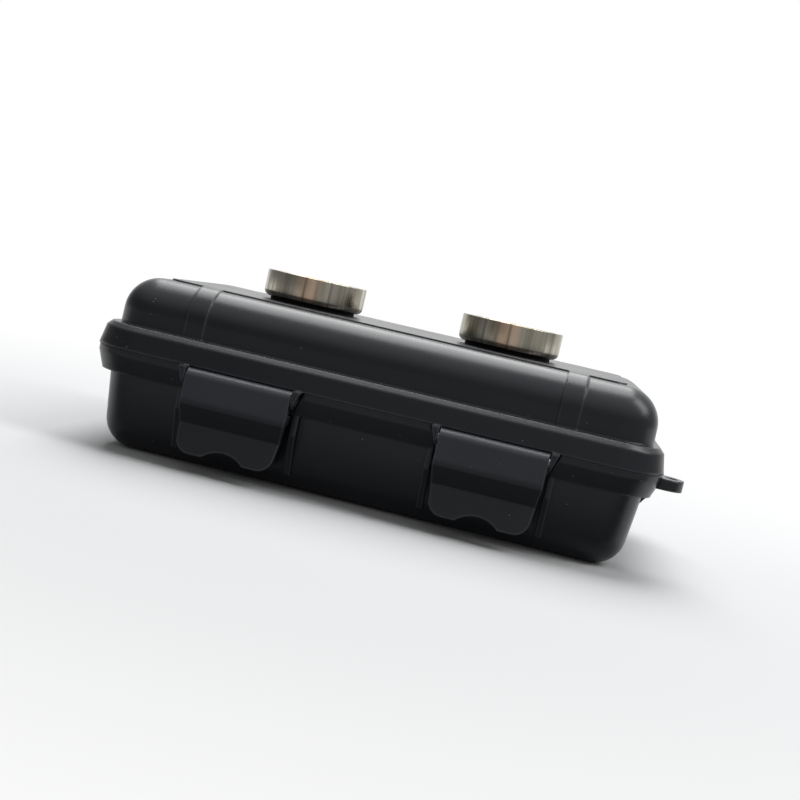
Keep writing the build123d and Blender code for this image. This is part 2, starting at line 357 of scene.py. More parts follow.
@dataclass(frozen=True)
class DrawnNickelCup(Finish):
    """Bright nickel on a deep-drawn steel cup.

    The eye sees a warm grey metal with broad upright streaks and darker lines between them, which
    are painted reflections of the surroundings, one coppery streak on the side of the latches,
    a painted reflection too, and faint rings on the flat faces. Real rings are finer than a pixel
    of the render, so they are drawn coarser.
    """

    # painted reflections of the surroundings: pale and dark streaks and a coppery streak
    pale: str = "cfc8ba"
    pale_reflection_span: Pair = (0.4, 0.6)
    copper: str = "efccae"
    copper_reflection_deg: float = -92.0
    copper_reflection_width_deg: float = 21.0
    copper_reflection_share: float = 0.9
    dull: str = "7d796e"
    dull_reflection_span: Pair = (0.48, 0.68)
    dull_reflection_share: float = 0.65
    broad_streak_mm: float = 5.87
    fine_streak_mm: float = 2.25
    ring_mm: float = 0.45
    ring_depth_mm: float = 0.002
    gloss_swing: Pair = (-0.05, 0.08)

    def cup_place(self, tree: Tree, place: Socket) -> tuple[Socket, Socket]:
        """Measure a point from the axis of its own cup.

        Args:
            tree: the material's node tree.
            place: the Object coordinates.

        Returns:
            The angle round the cup in radians and the distance from its axis in metres.
        """
        split = add_node(tree, "ShaderNodeSeparateXYZ", {"Vector": place})
        mirrored = add_node(tree, "ShaderNodeMath", {0: split.outputs["X"]}, operation="ABSOLUTE")
        across = add_node(tree, "ShaderNodeMath", {
            0: mirrored.outputs["Value"], 1: metres(MAGNET_SPACING / 2),
        }, operation="SUBTRACT")
        angle = add_node(tree, "ShaderNodeMath", {
            0: split.outputs["Y"], 1: across.outputs["Value"],
        }, operation="ARCTAN2")
        flat = add_node(tree, "ShaderNodeCombineXYZ", {
            "X": across.outputs["Value"], "Y": split.outputs["Y"],
        })
        radius = add_node(
            tree, "ShaderNodeVectorMath", {0: flat.outputs["Vector"]}, operation="LENGTH",
        )
        return angle.outputs["Value"], radius.outputs["Value"]

    def copper_reflection_amount(self, tree: Tree, angle: Socket) -> Socket:
        """Say where the coppery streak is, a painted reflection facing the front.

        Args:
            tree: the material's node tree.
            angle: the angle round the cup.

        Returns:
            The share of the copper colour.
        """
        aside = add_node(tree, "ShaderNodeMath", {
            0: angle, 1: math.radians(self.copper_reflection_deg),
        }, operation="SUBTRACT")
        away = add_node(tree, "ShaderNodeMath", {0: aside.outputs["Value"]}, operation="ABSOLUTE")
        warm = add_node(tree, "ShaderNodeMapRange", {
            "Value": away.outputs["Value"],
            "From Min": 0.0, "From Max": math.radians(self.copper_reflection_width_deg),
            "To Min": self.copper_reflection_share, "To Max": 0.0,
        }, interpolation_type="SMOOTHSTEP")
        return warm.outputs["Result"]

    def material(self) -> Material:
        """Build the material.

        Returns:
            The finished cup metal.
        """
        material, tree, place = self.begin()
        angle, radius = self.cup_place(tree, place)
        broad = add_node(tree, "ShaderNodeTexNoise", {
            "W": angle, "Scale": CUP_RADIUS / self.broad_streak_mm, "Detail": 1.0,
            "Roughness": 0.4,
        }, noise_dimensions="1D")
        fine = add_node(tree, "ShaderNodeTexNoise", {
            "W": angle, "Scale": CUP_RADIUS / self.fine_streak_mm, "Detail": 3.0,
            "Roughness": 0.6,
        }, noise_dimensions="1D")
        # painted reflections: pale upright streaks, dark lines and a coppery streak at the front
        paler = add_node(tree, "ShaderNodeMapRange", {
            "Value": broad.outputs["Fac"],
            "From Min": self.pale_reflection_span[0], "From Max": self.pale_reflection_span[1],
        }, interpolation_type="SMOOTHSTEP")
        grey = add_node(tree, "ShaderNodeMix", {
            "Factor": paler.outputs["Result"], "A": linear(self.colour), "B": linear(self.pale),
        }, data_type="RGBA")
        tint = add_node(tree, "ShaderNodeMix", {
            "Factor": self.copper_reflection_amount(tree, angle),
            "A": grey.outputs["Result"], "B": linear(self.copper),
        }, data_type="RGBA")
        dulled = add_node(tree, "ShaderNodeMapRange", {
            "Value": fine.outputs["Fac"],
            "From Min": self.dull_reflection_span[0], "From Max": self.dull_reflection_span[1],
            "To Min": 0.0, "To Max": self.dull_reflection_share,
        })
        reflection_streaked = add_node(tree, "ShaderNodeMix", {
            "Factor": dulled.outputs["Result"],
            "A": tint.outputs["Result"], "B": linear(self.dull),
        }, data_type="RGBA")
        rings = add_node(tree, "ShaderNodeTexNoise", {
            "W": radius, "Scale": per_metre(self.ring_mm), "Detail": 2.0,
        }, noise_dimensions="1D")
        gloss = add_node(tree, "ShaderNodeMapRange", {
            "Value": fine.outputs["Fac"], "From Min": NOISE_LOW, "From Max": NOISE_HIGH,
            "To Min": self.roughness + self.gloss_swing[0],
            "To Max": self.roughness + self.gloss_swing[1],
        })
        bump = add_node(tree, "ShaderNodeBump", {
            "Height": rings.outputs["Fac"], "Distance": metres(self.ring_depth_mm),
            "Strength": 0.2,
        })
        self.close(tree, {
            "Base Color": reflection_streaked.outputs["Result"], "Metallic": 1.0,
            "Roughness": gloss.outputs["Result"], "Normal": bump.outputs["Normal"],
        })
        return material


@dataclass(frozen=True)
class PlatedMetal(Finish):
    """Nickel or zinc plate on tumbled or headed steel.

    The eye sees a bright cool metal, slightly cloudy, with small nicks from the barrel.
    """

    cloudy: str = "8d9093"
    cloud_mm: float = 2.6
    nick_mm: float = 0.5
    nick_depth_mm: float = 0.01
    gloss_swing: Pair = (-0.05, 0.07)

    def material(self) -> Material:
        """Build the material.

        Returns:
            The finished plate.
        """
        material, tree, place = self.begin()
        cloud = add_node(tree, "ShaderNodeTexNoise", {
            "Vector": place, "Scale": per_metre(self.cloud_mm), "Detail": 4.0,
        })
        nicks = add_node(tree, "ShaderNodeTexVoronoi", {
            "Vector": place, "Scale": per_metre(self.nick_mm),
        })
        tint = add_node(tree, "ShaderNodeMix", {
            "Factor": cloud.outputs["Fac"], "A": linear(self.colour), "B": linear(self.cloudy),
        }, data_type="RGBA")
        gloss = add_node(tree, "ShaderNodeMapRange", {
            "Value": cloud.outputs["Fac"], "From Min": NOISE_LOW, "From Max": NOISE_HIGH,
            "To Min": self.roughness + self.gloss_swing[0],
            "To Max": self.roughness + self.gloss_swing[1],
        })
        bump = add_node(tree, "ShaderNodeBump", {
            "Height": nicks.outputs["Distance"], "Distance": metres(self.nick_depth_mm),
            "Strength": 0.4,
        })
        self.close(tree, {
            "Base Color": tint.outputs["Result"], "Metallic": 1.0,
            "Roughness": gloss.outputs["Result"], "Normal": bump.outputs["Normal"],
        })
        return material


@dataclass(frozen=True)
class DrawnWire(Finish):
    """Stainless wire, drawn and cut for pins.

    The eye sees fine lines along the wire, which runs along X. The real ones are finer than a
    pixel of the render, so they are drawn coarser.
    """

    bright: str = "dadcde"
    line_mm: float = 0.12
    line_length_mm: float = 6.0
    line_depth_mm: float = 0.004

    def material(self) -> Material:
        """Build the material.

        Returns:
            The finished wire.
        """
        material, tree, place = self.begin()
        stretched = add_node(tree, "ShaderNodeMapping", {
            "Vector": place, "Scale": (self.line_mm / self.line_length_mm, 1.0, 1.0),
        })
        lines = add_node(tree, "ShaderNodeTexNoise", {
            "Vector": stretched.outputs["Vector"], "Scale": per_metre(self.line_mm),
            "Detail": 2.0,
        })
        tint = add_node(tree, "ShaderNodeMix", {
            "Factor": lines.outputs["Fac"], "A": linear(self.colour), "B": linear(self.bright),
        }, data_type="RGBA")
        bump = add_node(tree, "ShaderNodeBump", {
            "Height": lines.outputs["Fac"], "Distance": metres(self.line_depth_mm),
            "Strength": 0.6,
        })
        self.close(tree, {
            "Base Color": tint.outputs["Result"], "Metallic": 1.0, "Roughness": self.roughness,
            "Normal": bump.outputs["Normal"],
        })
        return material


@dataclass(frozen=True)
class Finishes:
    """Every finish on the box, made once."""

    case: Material
    latch: Material
    gasket: Material
    pad: Material
    cup: Material
    magnet: Material
    fastener: Material
    pin: Material

    @classmethod
    def make(cls) -> "Finishes":
        """Make the materials from their finishes.

        Returns:
            All of them.
        """
        return cls(
            case=MouldedPlastic(
                "moulded_abs_satin_black", "14181f", 0.30, polished_and_lit="181c24", edge_mm=0.9,
            ).material(),
            # painted light: each latch's upper plate is painted paler, as lit from above
            latch=MouldedPlastic(
                "moulded_nylon_satin_black", "161a22", 0.42, polished_and_lit="3b3f47",
                lit_plate_from_mm=17.2,
            ).material(),
            gasket=CuredRubber("moulded_silicone_dark_grey", "2b2c2d", 0.72).material(),
            pad=CuredRubber("moulded_epdm_black", "161616", 0.8).material(),
            cup=DrawnNickelCup("bright_nickel_on_drawn_steel", "aca898", 0.24).material(),
            magnet=PlatedMetal("nickel_on_tumbled_neodymium", "b4b1ab", 0.3).material(),
            fastener=PlatedMetal("bright_zinc_on_headed_steel", "c6c9cc", 0.28).material(),
            pin=DrawnWire("drawn_stainless_wire", "a9abad", 0.3).material(),
        )


class Direction(Enum):
    """The axis that a turned piece is turned about."""

    X = "x"
    Z = "z"


class Leaves(Enum):
    """What a cutter leaves of a blank."""

    OUTSIDE = "DIFFERENCE"
    INSIDE = "INTERSECT"


class Takes(Enum):
    """The kinds of input that a Geometry Nodes tree takes."""

    COUNT = "NodeSocketInt"
    FINISH = "NodeSocketMaterial"
    NUMBER = "NodeSocketFloat"
    PLACE = "NodeSocketVector"


def quarter(centre: Pair, radius: float, start_deg: float, steps: int) -> Profile:
    """Points on a quarter circle, anticlockwise from a start angle, both ends included."""
    angles = (math.radians(start_deg + 90.0 * i / steps) for i in range(steps + 1))
    return [(centre[0] + radius * math.cos(a), centre[1] + radius * math.sin(a)) for a in angles]


def pin_profile(radius: float, length: float, bevel: float) -> Profile:
    """The outline of a round pin with bevelled ends.

    Args:
        radius: the pin's radius in mm.
        length: its whole length in mm.
        bevel: the bevel's width at each end in mm.

    Returns:
        Radius and height pairs, the heights measured from the pin's middle.
    """
    half = length / 2
    return [
        (0.0, -half), (radius - bevel, -half), (radius, bevel - half),
        (radius, half - bevel), (radius - bevel, half), (0.0, half),
    ]


def turned(
    profile: Profile, middle: Sequence[float], segments: int, about: Direction = Direction.Z,
    on_axis: float = 1e-6,
) -> bmesh.types.BMesh:
    """Turn a profile about an axis.

    Args:
        profile: radius and height pairs in mm; a closed loop unless both ends are on the axis.
        middle: where the axis crosses the profile's zero height, in mm.
        segments: how many steps the turn has.
        about: the axis.
        on_axis: a smaller radius, in mm, gives a single point.

    Returns:
        A closed mesh in metres.
    """
    shape = bmesh.new()
    rings: list[list[bmesh.types.BMVert]] = []
    for radius, height in profile:
        ring = []
        for i in range(1 if radius < on_axis else segments):
            angle = 2.0 * math.pi * i / segments
            u, v = radius * math.cos(angle), radius * math.sin(angle)
            local = (u, v, height) if about is Direction.Z else (height, u, v)
            ring.append(shape.verts.new([metres(a + b) for a, b in zip(local, middle)]))
        rings.append(ring)
    open_ended = len(rings[0]) == 1 and len(rings[-1]) == 1
    pairs = list(zip(rings, rings[1:])) + ([] if open_ended else [(rings[-1], rings[0])])
    for low, high in pairs:
        for i in range(segments):
            j = (i + 1) % segments
            corners = dict.fromkeys((
                low[i % len(low)], low[j % len(low)], high[j % len(high)], high[i % len(high)],
            ))
            if len(corners) > 2:
                shape.faces.new(list(corners))
    return shape


def make_object(
    name: str, shape: bmesh.types.BMesh, material: Material, same_point: float = 1e-7
) -> Piece:
    """Turn a bmesh into a finished object at the origin.

    Args:
        name: the piece's name.
        shape: the mesh data, which is freed.
        material: the piece's only material.
        same_point: points nearer than this, in metres, are merged.

    Returns:
        The object, linked to the scene.
    """
    bmesh.ops.remove_doubles(shape, verts=shape.verts, dist=same_point)
    bmesh.ops.recalc_face_normals(shape, faces=shape.faces)
    mesh = bpy.data.meshes.new(name)
    shape.to_mesh(mesh)
    shape.free()
    return finish_mesh(name, mesh, material)


def finish_mesh(name: str, mesh: Mesh, material: Material, smooth_deg: float = 35.0) -> Piece:
    """Shade a mesh, give it its material and link it as an object.

    Args:
        name: the piece's name.
        mesh: the finished mesh.
        material: the piece's only material.
        smooth_deg: edges sharper than this stay crisp.

    Returns:
        The object, linked to the scene.
    """
    mesh.materials.clear()
    mesh.materials.append(material)
    mesh.shade_smooth()
    mesh.set_sharp_from_angle(angle=math.radians(smooth_deg))
    piece = bpy.data.objects.new(name, mesh)
    bpy.context.scene.collection.objects.link(piece)
    return piece


def evaluated_mesh(piece: Piece) -> Mesh:
    """The mesh that a piece has with its modifiers, which are then removed with the piece.

    Args:
        piece: a working object.

    Returns:
        A plain mesh that nothing else uses.
    """
    depsgraph = bpy.context.evaluated_depsgraph_get()
    mesh = bpy.data.meshes.new_from_object(piece.evaluated_get(depsgraph), depsgraph=depsgraph)
    bpy.data.objects.remove(piece, do_unlink=True)
    return mesh


def welded(mesh: Mesh, gap_mm: float = 0.002, sliver_mm: float = 0.001) -> Mesh:
    """Weld the slivers that a cut leaves in a mesh.

    Args:
        mesh: the cut mesh, which is changed.
        gap_mm: points nearer than this are merged.
        sliver_mm: edges and faces thinner than this are dissolved.

    Returns:
        The same mesh.
    """
    shape = bmesh.new()
    shape.from_mesh(mesh)
    bmesh.ops.remove_doubles(shape, verts=shape.verts, dist=metres(gap_mm))
    bmesh.ops.dissolve_degenerate(shape, edges=shape.edges, dist=metres(sliver_mm))
    bmesh.ops.triangulate(shape, faces=shape.faces)
    shape.to_mesh(mesh)
    shape.free()
    return mesh


def cut_mesh(blank: Piece, cutter: Piece, leaves: Leaves, crossing: bool = False) -> Mesh:
    """Cut a blank with a cutter, and remove both objects.

    Args:
        blank: the working object that is cut.
        cutter: the working object that cuts it.
        leaves: what stays of the blank.
        crossing: whether the cutter's own parts run through each other.

    Returns:
        The cut blank as a plain mesh.
    """
    cut = blank.modifiers.new("cut", "BOOLEAN")
    cut.operation, cut.solver, cut.use_self, cut.object = leaves.value, "EXACT", crossing, cutter
    mesh = welded(evaluated_mesh(blank))
    bpy.data.objects.remove(cutter, do_unlink=True)
    return mesh


def dress_node(node: str, material: Material) -> Piece:
    """Give every slot of a CAD node one finish.

    Args:
        node: the node's name.
        material: the finish.

    Returns:
        The node's object.
    """
    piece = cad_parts[node]
    for slot in piece.material_slots:
        slot.link = "OBJECT"
        slot.material = material
    return piece


def stand_for(piece: Piece, body: str, nodes: Iterable[str]) -> Piece:
    """Let a piece ride on a body in place of CAD nodes.

    Args:
        piece: the finished piece.
        body: the body that it moves with.
        nodes: the CAD nodes that it stands for.

    Returns:
        The same piece.
    """
    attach(piece, body)
    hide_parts(*nodes)
    return piece


@dataclass(frozen=True)
class TurnedPair:
    """A turned piece for each side of the box, with the right one's middle in mm."""

    name: str
    body: str
    slot: str
    node: str
    middle: Point
    segments: int
    about: Direction = Direction.Z

    def build(self, profile: Profile, material: Material) -> list[Piece]:
        """Turn both pieces and let them stand for their CAD nodes.

        Args:
            profile: radius and height pairs in mm.
            material: their finish.

        Returns:
            The left piece and the right piece.
        """
        pieces = []
        x, y, z = self.middle
        for hand, side in SIDES:
            shape = turned(profile, (side * x, y, z), self.segments, self.about)
            piece = make_object(f"{self.name}_{hand}", shape, material)
            pieces.append(stand_for(piece, self.body, [f"{self.node}_{hand}"]))
        return pieces


class NodeTool:
    """One Geometry Nodes tree with named inputs, made for one kind of piece."""

    def __init__(self, name: str) -> None:
        """Start an empty tree with a geometry input and output.

        Args:
            name: the tree's name.
        """
        self.tree = bpy.data.node_groups.new(name, "GeometryNodeTree")
        for way in ("INPUT", "OUTPUT"):
            self.tree.interface.new_socket(
                name="Geometry", in_out=way, socket_type="NodeSocketGeometry",
            )
        self.identifiers: dict[str, str] = {}
        self.given = add_node(self.tree, "NodeGroupInput")

    def take(self, kind: Takes, *names: str) -> list[Socket]:
        """Add named inputs of one kind.

        Args:
            kind: what they take.
            names: their names.

        Returns:
            The sockets to link from, in the order of the names.
        """
        for name in names:
            item = self.tree.interface.new_socket(
                name=name, in_out="INPUT", socket_type=kind.value,
            )
            self.identifiers[name] = item.identifier
        return [self.given.outputs[name] for name in names]

    def end(self, geometry: Socket, material: Socket) -> None:
        """End the tree in Realize Instances and Set Material.

        Args:
            geometry: what the tree has made.
            material: its finish.
        """
        real = add_node(self.tree, "GeometryNodeRealizeInstances", {"Geometry": geometry})
        dressed = add_node(self.tree, "GeometryNodeSetMaterial", {
            "Geometry": real.outputs["Geometry"], "Material": material,
        })
        add_node(self.tree, "NodeGroupOutput", {"Geometry": dressed.outputs["Geometry"]})

    def run(self, source: Mesh, values: dict[str, Any]) -> Mesh:
        """Evaluate the tree on a mesh.

        Args:
            source: the mesh that the tree gets as its geometry.
            values: the value of each named input.

        Returns:
            The result as a plain mesh.
        """
        worker = bpy.data.objects.new(self.tree.name + "_worker", source)
        bpy.context.scene.collection.objects.link(worker)
        modifier = worker.modifiers.new(self.tree.name, "NODES")
        modifier.node_group = self.tree
        for name, value in values.items():
            modifier[self.identifiers[name]] = value
        return evaluated_mesh(worker)


def row_tool(seed: int = 7) -> NodeTool:
    """A tree that sets copies of a piece in a row, each turned by its own chance angle about Z.

    Args:
        seed: the seed of the chance angles.

    Returns:
        The tool, with inputs Count, Start, Step, Turn and Material.
    """
    tool = NodeTool("set_in_a_row")
    (count,) = tool.take(Takes.COUNT, "Count")
    start, step = tool.take(Takes.PLACE, "Start", "Step")
    (turn,) = tool.take(Takes.NUMBER, "Turn")
    (material,) = tool.take(Takes.FINISH, "Material")
    row = add_node(tool.tree, "GeometryNodeMeshLine", {
        "Count": count, "Start Location": start, "Offset": step,
    }, mode="OFFSET")
    chance = add_node(tool.tree, "FunctionNodeRandomValue", {
        "Min": 0.0, "Max": turn, "Seed": seed,
    })
    angles = add_node(tool.tree, "ShaderNodeCombineXYZ", {"Z": chance.outputs["Value"]})
    copies = add_node(tool.tree, "GeometryNodeInstanceOnPoints", {
        "Points": row.outputs["Mesh"], "Instance": tool.given.outputs["Geometry"],
        "Rotation": angles.outputs["Vector"],
    })
    tool.end(copies.outputs["Instances"], material)
    return tool


def seal_tool(corner_steps: int = 12, edge_steps: int = 4) -> NodeTool:
    """A tree that runs a rounded strip along a rounded rectangle.

    Args:
        corner_steps: how many points round each corner of the path.
        edge_steps: how many points round each edge of the strip.

    Returns:
        The tool, with inputs Length, Depth, Corner, Width, Height, Round, Level and Material.
    """
    tool = NodeTool("strip_round_the_rim")
    length, depth, corner = tool.take(Takes.NUMBER, "Length", "Depth", "Corner")
    width, height, soft = tool.take(Takes.NUMBER, "Width", "Height", "Round")
    (level,) = tool.take(Takes.PLACE, "Level")
    (material,) = tool.take(Takes.FINISH, "Material")
    rim = add_node(tool.tree, "GeometryNodeCurvePrimitiveQuadrilateral", {
        "Width": length, "Height": depth,
    })
    path = add_node(tool.tree, "GeometryNodeFilletCurve", {
        "Curve": rim.outputs["Curve"], "Radius": corner, "Count": corner_steps,
    }, mode="POLY")
    section = add_node(tool.tree, "GeometryNodeCurvePrimitiveQuadrilateral", {
        "Width": width, "Height": height,
    })
    lip = add_node(tool.tree, "GeometryNodeFilletCurve", {
        "Curve": section.outputs["Curve"], "Radius": soft, "Count": edge_steps,
    }, mode="POLY")
    strip = add_node(tool.tree, "GeometryNodeCurveToMesh", {
        "Curve": path.outputs["Curve"], "Profile Curve": lip.outputs["Curve"],
    })
    placed = add_node(tool.tree, "GeometryNodeTransform", {
        "Geometry": strip.outputs["Mesh"], "Translation": level,
    })
    tool.end(placed.outputs["Geometry"], material)
    return tool


def thread_tool(steps_a_turn: int = 28, ridge_sides: int = 3) -> NodeTool:
    """A tree that winds a sharp ridge round a shank as a screw thread and keeps the shank.

    Args:
        steps_a_turn: how many points the thread has in one turn.
        ridge_sides: how many sides the ridge's section has.

    Returns:
        The tool, with inputs Turns, Radius, Length, Ridge, Foot and Material.
    """
    tool = NodeTool("screw_thread")
    turns, radius, length, ridge = tool.take(
        Takes.NUMBER, "Turns", "Radius", "Length", "Ridge",
    )
    (foot,) = tool.take(Takes.PLACE, "Foot")
    (material,) = tool.take(Takes.FINISH, "Material")
    helix = add_node(tool.tree, "GeometryNodeCurveSpiral", {
        "Resolution": steps_a_turn, "Rotations": turns, "Start Radius": radius,
        "End Radius": radius, "Height": length,
    })
    section = add_node(tool.tree, "GeometryNodeCurvePrimitiveCircle", {
        "Resolution": ridge_sides, "Radius": ridge,
    })
    wound = add_node(tool.tree, "GeometryNodeCurveToMesh", {
        "Curve": helix.outputs["Curve"], "Profile Curve": section.outputs["Curve"],
        "Fill Caps": True,
    })
    placed = add_node(tool.tree, "GeometryNodeTransform", {
        "Geometry": wound.outputs["Mesh"], "Translation": foot,
    })
    joined = add_node(tool.tree, "GeometryNodeJoinGeometry", {
        "Geometry": placed.outputs["Geometry"],
    })
    tool.tree.links.new(tool.given.outputs["Geometry"], joined.inputs["Geometry"])
    tool.end(joined.outputs["Geometry"], material)
    return tool


@dataclass
class Case:
    """The lid and base mouldings with the gasket and the hinge pins between them, in mm."""

    gasket_path: Pair = (133.6, 72.8)
    gasket_corner: float = 7.9
    gasket_width: float = 2.4
    gasket_height: float = 2.2
    gasket_round: float = 0.6
    gasket_middle: float = 26.9
    gasket_smooth_deg: float = 50.0
    pin_radius: float = 1.5
    pin_length: float = 24.0
    pin_bevel: float = 0.3
    pins: TurnedPair = TurnedPair(
        "hinge_wire", "base", "pin_steel", "hinge_pin", (38.0, 45.6, 25.0), 40, Direction.X,
    )

    def build_gasket(self, finishes: Finishes) -> Piece:
        """Make the soft-edged gasket in the lid's groove.

        Args:
            finishes: the box's finishes.

        Returns:
            The gasket.
        """
        mesh = seal_tool().run(bpy.data.meshes.new("gasket_source"), {
            "Length": metres(self.gasket_path[0]), "Depth": metres(self.gasket_path[1]),
            "Corner": metres(self.gasket_corner), "Width": metres(self.gasket_width),
            "Height": metres(self.gasket_height), "Round": metres(self.gasket_round),
            "Level": (0.0, 0.0, metres(self.gasket_middle)), "Material": finishes.gasket,
        })
        gasket = finish_mesh("soft_gasket", mesh, finishes.gasket, self.gasket_smooth_deg)
        return stand_for(gasket, "lid", ["gasket"])

    def build(self, finishes: Finishes) -> list[Piece]:
        """Dress the mouldings, and make the gasket and the hinge pins.

        Args:
            finishes: the box's finishes.

        Returns:
            The pieces.
        """
        shells = ("lid_shell", "base_shell", "lanyard_eye")
        outline = pin_profile(self.pin_radius, self.pin_length, self.pin_bevel)
        return [
            *(dress_node(shell, finishes.case) for shell in shells),
            self.build_gasket(finishes),
            *self.pins.build(outline, finishes.pin),
        ]


@dataclass
class Latches:
    """The two front latches and the pins that they turn on, in mm."""

    pin_radius: float = 1.0
    pin_length: float = 27.8
    pin_bevel: float = 0.2
    pins: TurnedPair = TurnedPair(
        "latch_wire", "lid", "pin_steel", "latch_pin", (31.2, -42.3, 22.5), 32, Direction.X,
    )

    def build(self, finishes: Finishes) -> list[Piece]:
        """Dress the latches and make their pins.

        Args:
            finishes: the box's finishes.

        Returns:
            The pieces.
        """
        outline = pin_profile(self.pin_radius, self.pin_length, self.pin_bevel)
        return [
            *(dress_node("latch_" + hand, finishes.latch) for hand, _ in SIDES),
            *self.pins.build(outline, finishes.pin),
        ]


@dataclass(frozen=True)
class PanHeadScrew:
    """An M4 screw with a domed head and a tapered cross recess, in mm.

    Its point is narrower than the shank. The thread is shorter than the shank and sunk a little
    into it.
    """

    head_radius: float = 3.8
    head_height: float = 2.6
    head_round: float = 1.5
    head_steps: int = 5
    drive_length: float = 4.4
    drive_width: float = 0.95
    drive_depth: float = 1.3
    drive_taper: float = 0.8
    length: float = 12.0
    shank_radius: float = 1.72
    point_narrower: float = 0.4
    point_length: float = 0.5
    thread_pitch: float = 0.7
    thread_shorter: float = 1.2
    thread_start: float = 0.4
    thread_sunk: float = 0.05
    thread_ridge: float = 0.33
    segments: int = 40

    def blank(self, metal: Material) -> Piece:
        """Turn the head and the plain shank.

        Args:
            metal: the screw's finish.

        Returns:
            A working object, the underside of its head at z = 0.
        """
        dome, head, tip = self.head_round, self.head_height, -self.length
        profile: Profile = [
            (0.0, tip), (self.shank_radius - self.point_narrower, tip),
            (self.shank_radius, tip + self.point_length), (self.shank_radius, 0.0),
            (self.head_radius, 0.0), (self.head_radius, head - dome),
        ]
        profile += quarter(
            (self.head_radius - dome, head - dome), dome, 0.0, self.head_steps,
        )[1:]
        profile += [(0.0, head)]
        return make_object("screw_blank", turned(profile, ORIGIN, self.segments), metal)

    def recess(self, metal: Material) -> Piece:
        """Make the cutter for the cross recess, narrower towards its floor.

        Args:
            metal: the screw's finish.

        Returns:
            A working object at the top of the head.
        """
        shape = bmesh.new()
        top, depth = metres(self.head_height), metres(self.drive_depth)
        arm = (self.drive_length, self.drive_width)
        for length, width in (arm, arm[::-1]):
            size = Matrix.Diagonal((metres(length), metres(width), 2 * depth, 1.0))
            bmesh.ops.create_cube(shape, size=1.0, matrix=Matrix.Translation((0, 0, top)) @ size)
        for vert in shape.verts:
            share = 1.0 + self.drive_taper * (vert.co.z - top) / depth
            vert.co.x, vert.co.y = vert.co.x * share, vert.co.y * share
        return make_object("recess_cutter", shape, metal)

    def mesh(self, metal: Material) -> Mesh:
        """One whole screw, the underside of its head at z = 0.

        Args:
            metal: the screw's finish.

        Returns:
            The screw with its thread, as a plain mesh.
        """
        plain = cut_mesh(self.blank(metal), self.recess(metal), Leaves.OUTSIDE, crossing=True)
        length = self.length - self.thread_shorter
        return thread_tool().run(plain, {
            "Turns": length / self.thread_pitch,
            "Radius": metres(self.shank_radius - self.thread_sunk),
            "Length": metres(length), "Ridge": metres(self.thread_ridge),
            "Foot": (0.0, 0.0, metres(self.thread_start - self.length)), "Material": metal,
        })


@dataclass(frozen=True)
class FlatWasher:
    """A punched M4 washer with bevelled outer edges, in mm."""

    radius: float = 4.5
    hole: float = 2.15
    height: float = 0.8
    edge: float = 0.12
    segments: int = 48

    def mesh(self, metal: Material) -> Mesh:
        """One washer, its underside at z = 0.

        Args:
            metal: the washer's finish.

        Returns:
            The washer as a plain mesh.
        """
        profile: Profile = [
            (self.hole, 0.0), (self.radius - self.edge, 0.0), (self.radius, self.edge),
            (self.radius, self.height - self.edge), (self.radius - self.edge, self.height),
            (self.hole, self.height),
        ]
        blank = make_object("washer_blank", turned(profile, ORIGIN, self.segments), metal)
        return evaluated_mesh(blank)


@dataclass(frozen=True)
class HexagonNut:
    """An M4 nut with chamfered corners and bore, in mm."""

    flats: float = 7.0
    height: float = 3.2
    bore: float = 2.0
    bore_chamfer: float = 0.3
    corner_chamfer: float = 0.45
    drum_over: float = 0.1
    segments: int = 72

    def mesh(self, metal: Material) -> Mesh:
        """One nut, its top at z = 0: a turned drum, a little wider than the corners, cut flat.

        Args:
            metal: the nut's finish.

        Returns:
            The nut as a plain mesh.
        """
        corner = self.flats / math.sqrt(3.0)
        high, mouth = self.height, self.bore + self.bore_chamfer
        tip, over = self.corner_chamfer, self.drum_over
        profile: Profile = [
            (mouth, -high), (corner - tip, -high), (corner + over, tip + over - high),
            (corner + over, -tip - over), (corner - tip, 0.0), (mouth, 0.0),
            (self.bore, -self.bore_chamfer), (self.bore, self.bore_chamfer - high),
        ]
        drum = make_object("nut_drum", turned(profile, ORIGIN, self.segments), metal)
        hexagon = bmesh.new()
        bmesh.ops.create_cone(
            hexagon, cap_ends=True, segments=6, radius1=metres(corner), radius2=metres(corner),
            depth=metres(2 * high), matrix=Matrix.Translation((0.0, 0.0, metres(-high / 2))),
        )
        return cut_mesh(drum, make_object("nut_flats", hexagon, metal), Leaves.INSIDE)


